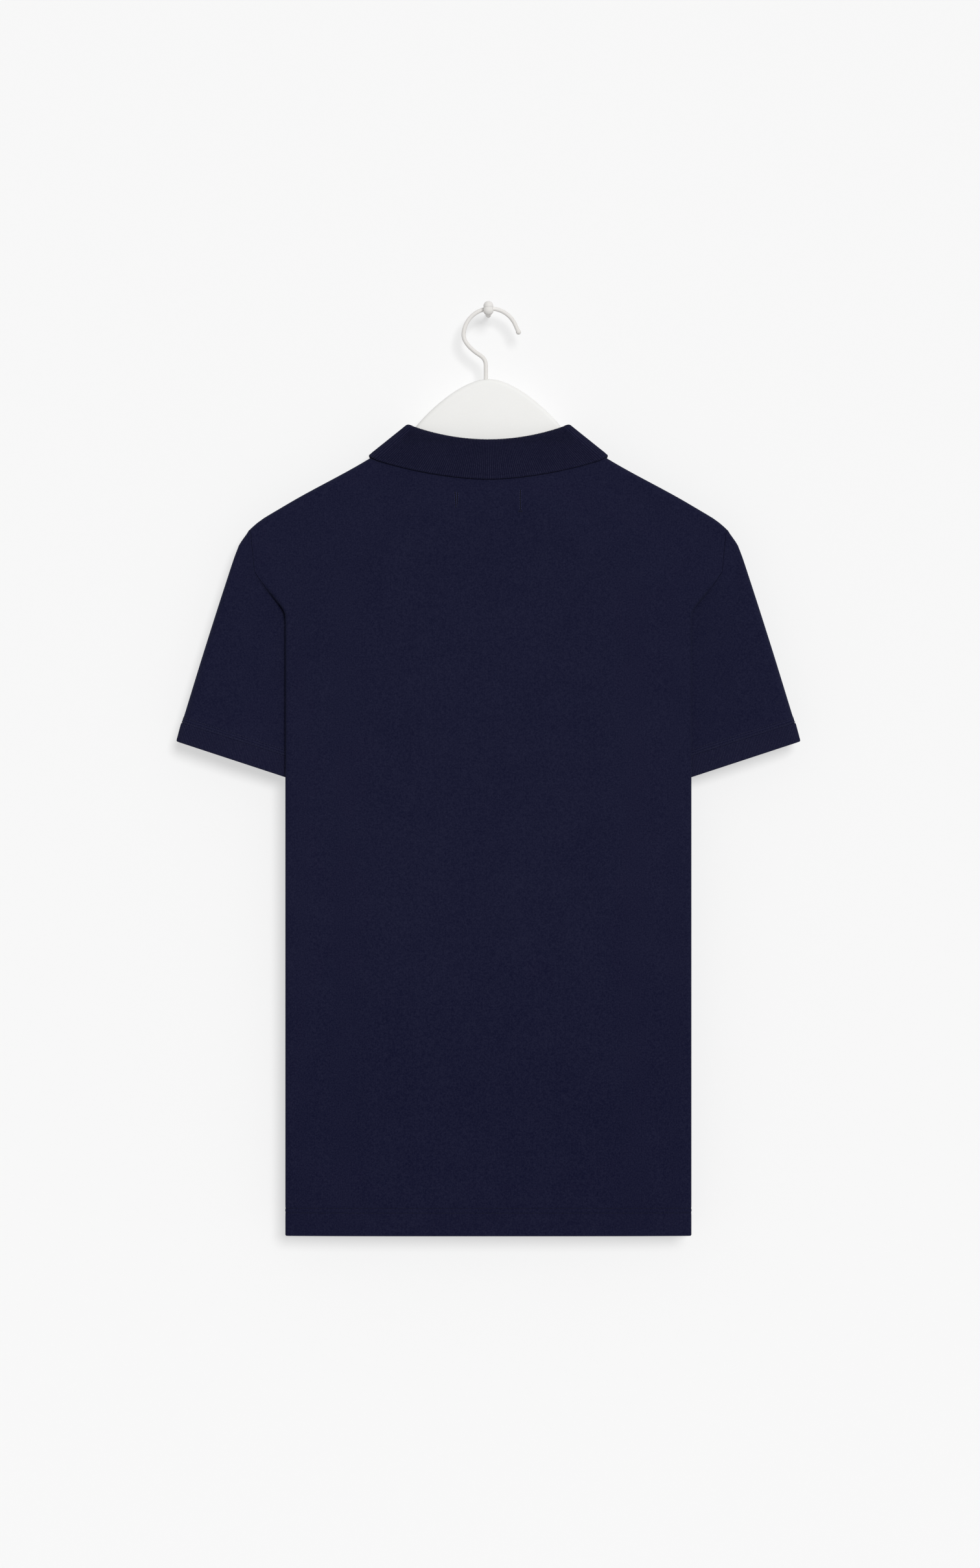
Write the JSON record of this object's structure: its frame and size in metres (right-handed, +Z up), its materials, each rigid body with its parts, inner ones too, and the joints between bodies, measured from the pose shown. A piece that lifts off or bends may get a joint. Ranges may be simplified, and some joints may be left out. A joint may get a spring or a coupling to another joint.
{
  "type": "polo shirt on a hanger",
  "caption": "short-sleeved polo shirt with a ribbed fold-over collar, hanging on a moulded plate hanger from a small ball-ended wall peg",
  "frame": {"origin": "centre of the wall peg's flat back face, on the wall", "axes": "+X across the shirt to the right as seen by someone looking at its back, +Y into the wall, +Z up; the back of the shirt faces -Y"},
  "size_m": [0.578, 0.0473, 0.8636],
  "materials": {
    "jersey": "matt fine-knit cotton jersey",
    "rib": "matt flat-knitted rib",
    "button": "dark polyester button",
    "plastic": "white moulded plastic, satin",
    "enamel": "white enamel"
  },
  "bodies": {
    "root": {"back_panel": "jersey", "front_panel": "jersey", "sleeve_left": "jersey", "sleeve_right": "jersey", "placket_upper": "jersey", "placket_under": "jersey", "collar": "rib", "cuff_left": "rib", "cuff_right": "rib", "button_upper": "button", "button_lower": "button", "hanger_body": "plastic", "hanger_hook": "enamel", "wall_peg": "enamel"}
  },
  "joints": []
}
